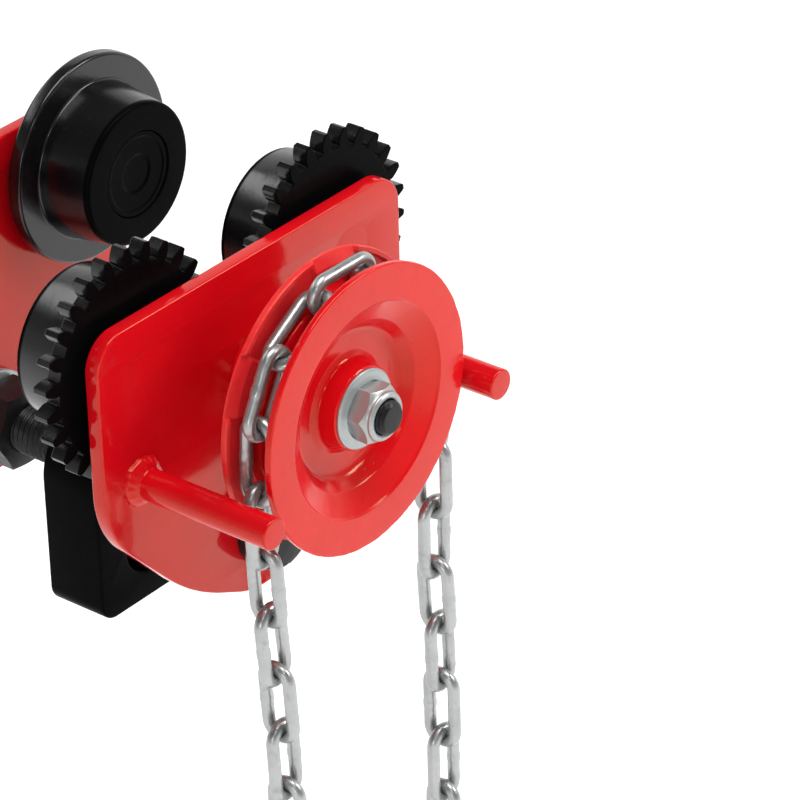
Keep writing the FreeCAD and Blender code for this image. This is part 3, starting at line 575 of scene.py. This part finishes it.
bm = bmesh.new()
flange = fillet([(6.7, 120.8), (15.25, 120.8), (15.25, 121.55), (14.5, 122.05), (12.6, 122.3), (11.3, 122.75), (10.7, 122.1), (9.7, 122.1), (6.7, 122.1)], [0, 0.2, 0.4, 0.6, 0.8, 0.25, 0.2, 0, 0], True, 6)
add_lathe(bm, flange, 0, DRIVE_Z, 240, None, -1.0)
env = fillet([(6.7, 121.5), (11.56, 121.5), (11.56, 127.7), (9.8, 129.35), (9.38, 130.0), (9.3, 130.9), (8.5, 131.7), (7.6, 131.7), (6.85, 131.25), (6.7, 130.4)], [0, 0, 0.25, 1.3, 0.6, 0.8, 0.5, 0.5, 0.4, 0], False, 6)
add_lathe(bm, stations(env, 0.16), 0, DRIVE_Z, 360, nut_warp, -1.0)
nut = finish_mesh("handwheel_nut", bm, ZINC_NUT, 24.0)
use(nut, "drive", "handwheel_lock_nut", "zinc_plate")


def thread(r_out, depth, pitch, y0, y1, fade=1.0):
    """A warp that cuts a screw thread between y0 and y1 on what is near r_out."""
    def w(r, y, t):
        if r > r_out - 0.05 and y0 <= y <= y1:
            ph = (y / pitch + t / (2 * math.pi)) % 1.0
            tri = abs(ph * 2 - 1)
            k = min(1.0, (y - y0) / fade, (y1 - y) / fade)
            return r - depth * max(0.0, min(1.0, tri * 1.3 - 0.15)) * max(0.0, k), y
        return r, y
    return w


def dense(prof, y0, y1, r, step):
    """Adds stations along the straight part of an outline at radius r between y0 and y1."""
    out = []
    for i, p in enumerate(prof):
        out.append(p)
        if i + 1 < len(prof):
            b = prof[i + 1]
            if abs(p[0] - r) < 1e-4 and abs(b[0] - r) < 1e-4 and abs(b[1] - p[1]) > step * 2:
                n = int(abs(b[1] - p[1]) / step)
                for k in range(1, n):
                    y = p[1] + (b[1] - p[1]) * k / n
                    out.append((r, y))
    return out


tip = fillet([(0.0, 134.4), (5.2, 134.4), (6.45, 133.1), (6.45, 120.2), (8.0, 120.2), (8.0, 99.5), (9.0, 99.5), (9.0, 52.9), (0.0, 52.9)], [0, 0.5, 0.25, 0, 0, 0, 0, 0.5, 0], False, 4)
tip = dense(tip, 120.5, 133.3, 6.45, 0.16)
shaft = lathe("drive_spindle", tip, 0, DRIVE_Z, OXIDE, 96, thread(6.45, 0.6, 1.75, 120.5, 133.2, 0.4), -1.0, 35.0)
use(shaft, "drive", "drive_shaft", "black_oxide")

# ---------------------------------------------------------------------------------------------
# hand chain
# ---------------------------------------------------------------------------------------------
P_LEN, WIRE, C_OFF, CH_RAD, CH_Y = 26.0, 4.9, 5.8, 48.3, -112.2
SPAN_FLAT, SPAN_UP = P_LEN + WIRE, P_LEN - WIRE - 0.1


def chain_joints():
    hf, hu = math.asin(SPAN_FLAT / 2 / CH_RAD), math.asin(SPAN_UP / 2 / CH_RAD)
    a = math.radians(151.7) + hu
    ang = [a]
    for i in range(5):
        ang.append(ang[-1] - 2 * (hu if i % 2 == 0 else hf))
    held = [(CH_RAD * math.cos(t), CH_RAD * math.sin(t)) for t in ang]

    def path(drop):
        left = [held[0], (-48.7, -17.0), (-47.4, -40.5), (-45.4, -71.0), (-43.4, -92.0), (-41.4, -122.0), (-39.6, -158.0)]
        rgt = [held[-1], (48.9, -19.5), (49.3, -41.0), (49.4, -70.0), (49.2, -95.0), (51.0, -121.0), (51.8, -143.0), (52.2, -158.0)]
        out = list(left)
        cx, rad = (left[-1][0] + rgt[-1][0]) / 2, (rgt[-1][0] - left[-1][0]) / 2
        out.append((left[-1][0], drop))
        for i in range(1, 120):
            q = math.pi + math.pi * i / 120
            out.append((cx + rad * math.cos(q), drop + 1.15 * rad * math.sin(q)))
        out.append((rgt[-1][0], drop))
        out += reversed(rgt)
        return out

    def march(pts):
        js = [pts[0]]
        px, pz = pts[0]
        i, cur = 0, pts[0]
        while True:
            ln = SPAN_FLAT if len(js) % 2 == 1 else SPAN_UP
            found = None
            j, a = i, cur
            while j < len(pts) - 1:
                b = pts[j + 1]
                if math.hypot(b[0] - px, b[1] - pz) >= ln:
                    lo, hi = 0.0, 1.0
                    for _ in range(40):
                        m = (lo + hi) / 2
                        if math.hypot(a[0] + (b[0] - a[0]) * m - px, a[1] + (b[1] - a[1]) * m - pz) < ln:
                            lo = m
                        else:
                            hi = m
                    found = (a[0] + (b[0] - a[0]) * hi, a[1] + (b[1] - a[1]) * hi, j)
                    break
                j += 1
                a = b
            if found is None:
                return js, math.hypot(pts[-1][0] - px, pts[-1][1] - pz)
            px, pz = found[0], found[1]
            i, cur = found[2], (found[0], found[1])
            js.append(cur)

    def best(lo, hi, steps):
        b = None
        for k in range(steps + 1):
            d = lo + (hi - lo) * k / steps
            js, rest = march(path(d))
            if len(js) % 2 == 1 and (b is None or abs(rest - SPAN_FLAT) < b[0]):
                b = (abs(rest - SPAN_FLAT), d, js)
        return b

    e, d, js = best(-188.0, -222.0, 200)
    e, d, js = best(d - 0.4, d + 0.4, 200)
    return js + list(reversed(held))[:-1], len(js)


def add_link(bm, m, weld_side, seed):
    """One welded link: a round wire bent to an oval, with the weld's swelling in one bar."""
    a = (P_LEN + WIRE) / 2 - C_OFF
    half = math.pi * C_OFF
    total = 4 * a + 2 * half
    n, k = 84, 18
    rings = []
    for i in range(n):
        s = total * i / n
        if s < 2 * a:
            p, d = Vector((-a + s, C_OFF, 0)), Vector((1, 0, 0))
        elif s < 2 * a + half:
            q = (s - 2 * a) / C_OFF
            p, d = Vector((a + C_OFF * math.sin(q), C_OFF * math.cos(q), 0)), Vector((math.cos(q), -math.sin(q), 0))
        elif s < 4 * a + half:
            p, d = Vector((a - (s - 2 * a - half), -C_OFF, 0)), Vector((-1, 0, 0))
        else:
            q = (s - 4 * a - half) / C_OFF
            p, d = Vector((-a - C_OFF * math.sin(q), -C_OFF * math.cos(q), 0)), Vector((-math.cos(q), math.sin(q), 0))
        sw = a if weld_side > 0 else 3 * a + half
        off = abs(s - sw)
        off = min(off, total - off)
        bulge = 0.20 * (1.0 - smooth(1.3, 2.2, off)) - 0.14 * (1.0 - smooth(0.0, 0.45, abs(off - 2.3)))
        side = d.cross(Vector((0, 0, 1)))
        ring = []
        for j in range(k):
            t = 2 * math.pi * j / k
            nz = noise.noise((p.x * 0.5 + seed * 7.3, p.y * 0.5 + math.cos(t), math.sin(t) + p.x * 0.1))
            r = WIRE / 2 + bulge + 0.02 * nz
            ring.append(bm.verts.new((m @ (p + side * (r * math.cos(t)) + Vector((0, 0, r * math.sin(t))))) * MM))
        rings.append(ring)
    for i in range(n):
        A, B = rings[i], rings[(i + 1) % n]
        for j in range(k):
            l = (j + 1) % k
            bm.faces.new((A[j], B[j], B[l], A[l]))


joints, hanging = chain_joints()
bm = bmesh.new()
for i in range(len(joints)):
    (x0, z0), (x1, z1) = joints[i], joints[(i + 1) % len(joints)]
    u = Vector((x1 - x0, 0, z1 - z0)).normalized()
    w = Vector((0, 1, 0)) if i % 2 == 0 else Vector((-u.z, 0, u.x))
    twist = math.radians(random.uniform(-5, 5) if 1 <= i < hanging - 1 else random.uniform(-1.5, 1.5))
    nrm = u.cross(w)
    w, nrm = w * math.cos(twist) + nrm * math.sin(twist), nrm * math.cos(twist) - w * math.sin(twist)
    c = Vector(((x0 + x1) / 2, CH_Y, DRIVE_Z + (z0 + z1) / 2))
    m = Matrix(((u.x, w.x, nrm.x, c.x), (u.y, w.y, nrm.y, c.y), (u.z, w.z, nrm.z, c.z), (0, 0, 0, 1)))
    add_link(bm, m, 1 if (i // 2) % 2 == 0 else -1, i)
chain = finish_mesh("hand_chain_links", bm, ZINC_CHAIN, 60.0)
use(chain, "frame", "hand_chain", "zinc_plate")

# ---------------------------------------------------------------------------------------------
# wheels
# ---------------------------------------------------------------------------------------------
N_GEAR, N_PIN, MOD, SLACK = 26, 12, 3.175, 0.25
PIN_PHASE = math.radians(76.94)


def gear_outline(teeth, phase):
    rp = teeth * MOD / 2.0
    rb = rp * math.cos(math.radians(20))
    ra = rp + (0.92 * MOD if teeth == N_GEAR else MOD)
    rf = rp - 1.3 * MOD
    inv = math.tan(math.radians(20)) - math.radians(20)
    half = math.pi / (2 * teeth) - SLACK / rp
    flank = []
    for i in range(7):
        r = max(rb, rf) + (ra - max(rb, rf)) * i / 6
        a = math.acos(min(1.0, rb / r))
        flank.append((r, half + inv - (math.tan(a) - a)))
    if rb > rf:
        flank.insert(0, (rf, flank[0][1] - 0.12 * MOD / rp))
    pts = []
    rad = []
    for k in range(teeth):
        c = phase + 2 * math.pi * k / teeth
        for i, (r, h) in enumerate(flank):
            pts.append((r * math.cos(c - h), r * math.sin(c - h)))
            rad.append(0.5 if i == len(flank) - 1 else (0.9 if i == 0 else 0.0))
        for i, (r, h) in enumerate(reversed(flank)):
            pts.append((r * math.cos(c + h), r * math.sin(c + h)))
            rad.append(0.5 if i == 0 else (0.9 if i == len(flank) - 1 else 0.0))
    return fillet(pts, rad, True, 4)


def add_gear(bm, outline, y0, y1, bore, x, z, bevel):
    """A toothed ring with its rims rounded off: star-shaped, so each layer scales the outline a little."""
    def layer(y, shrink):
        out = []
        n = len(outline)
        for i in range(n):
            p, a, b = Vector(outline[i]), Vector(outline[i - 1]), Vector(outline[(i + 1) % n])
            t = (b - a)
            nrm = Vector((t.y, -t.x))
            nrm = nrm.normalized() if nrm.length > 1e-9 else Vector(p).normalized()
            p = p - nrm * shrink
            out.append(bm.verts.new(((x + p.x) * MM, y * MM, (z + p.y) * MM)))
        return out

    rows = [layer(y0, bevel), layer(y0 + bevel * 0.3, bevel * 0.3), layer(y0 + bevel, 0.0), layer(y1 - bevel, 0.0), layer(y1 - bevel * 0.3, bevel * 0.3), layer(y1, bevel)]
    n = len(outline)
    for k in range(len(rows) - 1):
        A, B = rows[k], rows[k + 1]
        for i in range(n):
            j = (i + 1) % n
            bm.faces.new((A[i], B[i], B[j], A[j]))
    holes = []
    for y, ring in ((y0, rows[0]), (y1, rows[-1])):
        hole = [bm.verts.new(((x + a) * MM, y * MM, (z + b) * MM)) for a, b in arc_loop(0, 0, bore, 96)]
        edges = []
        for loop in (ring, hole):
            for i in range(len(loop)):
                a, b = loop[i], loop[(i + 1) % len(loop)]
                edges.append(bm.edges.get((a, b)) or bm.edges.new((a, b)))
        bmesh.ops.triangle_fill(bm, use_beauty=True, use_dissolve=False, edges=edges)
        holes.append(hole)
    for i in range(96):
        j = (i + 1) % 96
        bm.faces.new((holes[0][i], holes[1][i], holes[1][j], holes[0][j]))


dir_r = math.atan2(WHEEL_Z - DRIVE_Z, WHEEL_X)
for kind, ys in (("geared", -1), ("plain", 1)):
    for side, sx in (("left", -1), ("right", 1)):
        bm = bmesh.new()
        x = sx * WHEEL_X
        if kind == "geared":
            d = dir_r if sx > 0 else math.pi - dir_r
            phase = d + math.pi - (PIN_PHASE - d) * N_PIN / N_GEAR + math.pi / N_GEAR
            add_gear(bm, gear_outline(N_GEAR, phase), -61.6, -55.1, 20.0, x, WHEEL_Z, 0.34)
            prof = fillet([(13.0, 61.6), (20.2, 61.6), (20.2, 55.1), (31.45, 55.1), (28.6, 33.1), (27.4, 32.5), (17.5, 32.5), (17.5, 53.5), (13.0, 53.5)],
                          [0.3, 0, 0, 0, 1.1, 0.9, 0.4, 0, 0], True, 5)
        else:
            prof = fillet([(13.0, 61.6), (42.0, 61.6), (42.0, 55.1), (31.45, 55.1), (28.6, 33.1), (27.4, 32.5), (17.5, 32.5), (17.5, 53.5), (13.0, 53.5)],
                          [0.3, 1.8, 1.4, 1.2, 1.1, 0.9, 0.4, 0, 0], True, 6)
        add_lathe(bm, prof, x, WHEEL_Z, 160, None, ys)
        w = finish_mesh("%s_%s_running_wheel" % (kind, side), bm, BLACK, 20.0 if kind == "geared" else 34.0)
        use(w, "%s_%s_wheel_set" % (kind, side), "%s_%s_wheel" % (kind, side), "black_enamel")
        cap = lathe("%s_%s_bearing_cap" % (kind, side), fillet([(0.0, 34.1), (7.0, 34.1), (8.2, 33.5), (14.6, 33.5), (15.3, 33.1), (17.0, 33.1), (17.4, 33.6), (17.4, 42.5), (15.8, 42.5), (15.8, 35.2), (0.0, 35.2)],
                                                            [0, 0.8, 0.8, 0.4, 0.4, 0.3, 0.2, 0, 0, 0, 0], False, 4), x, WHEEL_Z, BLACK, 96, None, ys, 40.0)
        use(cap, "%s_%s_wheel_set" % (kind, side), "%s_%s_dust_cap" % (kind, side), "black_enamel")
        body = "frame" if kind == "geared" else "plain_side"
        ax = lathe("%s_%s_stub_axle" % (kind, side), fillet([(0.0, 71.56), (6.6, 71.555), (9.9, 71.502), (9.0, 71.4), (9.0, 65.5), (10.4, 65.5), (10.4, 53.5), (7.5, 53.5), (7.5, 37.2), (0.0, 37.2)],
                                                            [0, 3.0, 0.3, 0, 0, 0.3, 0.3, 0, 0.8, 0], False, 5), x, WHEEL_Z, RED, 96, None, ys, 40.0)
        use(ax, body, "%s_%s_axle" % (kind, side), "red_enamel")

bm = bmesh.new()
add_gear(bm, gear_outline(N_PIN, PIN_PHASE), -64.0, -55.0, 9.0, 0, DRIVE_Z, 0.34)
pin = finish_mesh("drive_pinion", bm, BLACK, 20.0)
use(pin, "drive", "pinion", "black_enamel")

# ---------------------------------------------------------------------------------------------
# load bolt, nuts, hanger
# ---------------------------------------------------------------------------------------------
bm = bmesh.new()
add_hex(bm, 22.0, -84.5, -80.5, 0, LOAD_Z, 0.02, True, False, math.radians(30))
add_lathe(bm, fillet([(0.0, 81.5), (15.2, 81.5), (15.2, 71.5), (0.0, 71.5)], [0, 1.2, 0.3, 0], False, 5), 0, LOAD_Z, 128, None, -1.0)
shank = [(0.0, -72.0), (10.0, -72.0), (10.0, 110.5), (8.8, 111.5), (0.0, 111.5)]
shank = dense(shank, 0, 0, 10.0, 0.32)
add_lathe(bm, shank, 0, LOAD_Z, 72, thread(10.0, 0.9, 2.5, 26.0, 110.7, 2.0))
bolt = finish_mesh("load_bolt_body", bm, OXIDE, 30.0)
use(bolt, "frame", "load_bolt", "black_oxide")
for node, y0, y1, body in (("load_bolt_clamp_nut", -65.5, -49.5, "frame"), ("adjuster_inner_nut", 46.5, 62.5, "plain_side"), ("adjuster_outer_nut", 74.5, 90.5, "plain_side")):
    bm = bmesh.new()
    add_hex(bm, 30.0, y0, y1, 0, LOAD_Z, 10.0, True, True, 0.0)
    nt = finish_mesh(node + "_body", bm, OXIDE, 28.0)
    use(nt, body, node, "black_oxide")
for node, y0, y1 in (("adjuster_inner_washer", 62.5, 65.5), ("adjuster_outer_washer", 71.5, 74.5)):
    ws = lathe(node + "_body", fillet([(10.1, y0), (18.5, y0), (18.5, y1), (10.1, y1)], [0.2, 0.5, 0.5, 0.2], True, 4), 0, LOAD_Z, ZINC_NUT, 128)
    use(ws, "plain_side", node, "zinc_plate")
half = 28.0
hang_loop = fillet([(-half, LOAD_Z + 26.0), (half, LOAD_Z + 26.0), (half, LOAD_Z - 52.7), (-half, LOAD_Z - 52.7)], [24.0, 24.0, 8.0, 8.0], True, 12)
hang = slab_mesh("hanger_plate", [hang_loop, arc_loop(0, LOAD_Z, 12.5, 96, True), arc_loop(0, LOAD_Z - 28.5, 12.5, 96, True)], -13.5, 13.5, 1.2, BLACK, 4)
use(hang, "hanger", "load_hanger", "black_enamel")

# ---------------------------------------------------------------------------------------------
# what stays as modelled: better finishes
# ---------------------------------------------------------------------------------------------
FINISH = {"red_enamel": RED, "black_enamel": BLACK, "zinc_plate": ZINC_NUT, "bearing_steel": STEEL, "spring_steel": SPRING, "black_oxide": OXIDE, "bronze": BRONZE}
slots = {s["node"]: s["material_slot"] for s in frame["record"]["subparts"]}
for name, ob in NODES.items():
    if ob.hide_render or ob.type != "MESH":
        continue
    mat = FINISH[slots[name]]
    if len(ob.material_slots) == 0:
        ob.data.materials.append(mat)
    for s in ob.material_slots:
        s.material = mat

# ---------------------------------------------------------------------------------------------
# floor and light
# ---------------------------------------------------------------------------------------------
fl = Nodes("pale_floor")
fl.set(Base_Color=(0.90, 0.90, 0.90), Roughness=0.8, Specular_IOR_Level=0.1, Emission_Color=(1.0, 1.0, 1.0), Emission_Strength=0.45)
me = bpy.data.meshes.new("floor")
s = 9.0
me.from_pydata([(-s, -s, -0.30), (s, -s, -0.30), (s, s, -0.30), (-s, s, -0.30)], [], [(0, 1, 2, 3)])
me.materials.append(fl.mat)
floor = bpy.data.objects.new("floor", me)
bpy.context.scene.collection.objects.link(floor)

# a room that is pale near the horizon and darker overhead
world = bpy.data.worlds.new("studio")
world.use_nodes = True
wt = world.node_tree
bg = wt.nodes["Background"]
co = wt.nodes.new("ShaderNodeTexCoord")
sep = wt.nodes.new("ShaderNodeSeparateXYZ")
wt.links.new(co.outputs["Generated"], sep.inputs["Vector"])
sky = wt.nodes.new("ShaderNodeValToRGB")
stops = [(0.0, 0.50), (0.20, 0.42), (0.45, 0.14), (0.75, 0.07), (1.0, 0.12)]
while len(sky.color_ramp.elements) < len(stops):
    sky.color_ramp.elements.new(0.5)
for e, (pp, v) in zip(sky.color_ramp.elements, stops):
    e.position = pp
    e.color = (v, v, v, 1.0)
wt.links.new(sep.outputs["Z"], sky.inputs["Fac"])
# a tall pale backdrop behind the part and to its right
dot = wt.nodes.new("ShaderNodeVectorMath")
dot.operation = "DOT_PRODUCT"
dot.inputs[1].default_value = (0.80, 0.60, 0.0)
wt.links.new(co.outputs["Generated"], dot.inputs[0])


def world_range(sock, a, b):
    n = wt.nodes.new("ShaderNodeMapRange")
    n.interpolation_type = "SMOOTHSTEP"
    n.inputs["From Min"].default_value = a
    n.inputs["From Max"].default_value = b
    wt.links.new(sock, n.inputs["Value"])
    return n.outputs["Result"]


def world_math(op, a, b):
    n = wt.nodes.new("ShaderNodeMath")
    n.operation = op
    for i, v in enumerate((a, b)):
        if isinstance(v, (int, float)):
            n.inputs[i].default_value = v
        else:
            wt.links.new(v, n.inputs[i])
    return n.outputs[0]


drop_mask = world_math("MULTIPLY", world_range(dot.outputs["Value"], 0.25, 0.55), world_range(sep.outputs["Z"], 0.66, 0.56))
total = world_math("ADD", sky.outputs["Color"], world_math("MULTIPLY", drop_mask, 0.75))
wt.links.new(total, bg.inputs["Color"])
bg.inputs["Strength"].default_value = 1.0
bpy.context.scene.world = world


def area(name, loc, aim, size, power, col=(1, 1, 1)):
    d = bpy.data.lights.new(name, "AREA")
    d.shape = "ELLIPSE"
    d.size, d.size_y = size
    d.energy = power
    d.color = col
    o = bpy.data.objects.new(name, d)
    o.location = loc
    o.rotation_euler = (Vector(aim) - Vector(loc)).to_track_quat("-Z", "Y").to_euler()
    bpy.context.scene.collection.objects.link(o)
    return o


area("overhead", (0.05, -0.35, 1.5), (0, -0.05, 0), (1.2, 0.9), 18.0)
area("main", (1.1, -1.2, 1.15), (0, -0.08, 0), (0.8, 0.6), 14.5)
area("lamp", (-1.0, -1.1, 1.15), (0, -0.08, 0), (0.16, 0.16), 2.0)
area("left", (-1.6, -0.75, 0.25), (0, -0.1, 0), (0.6, 0.6), 3.5)
area("rear", (-0.22, 1.17, 1.06), (0, -0.05, 0), (1.3, 0.28), 3.6)
bpy.context.scene.view_settings.view_transform = "Standard"
bpy.context.scene.view_settings.look = "None"
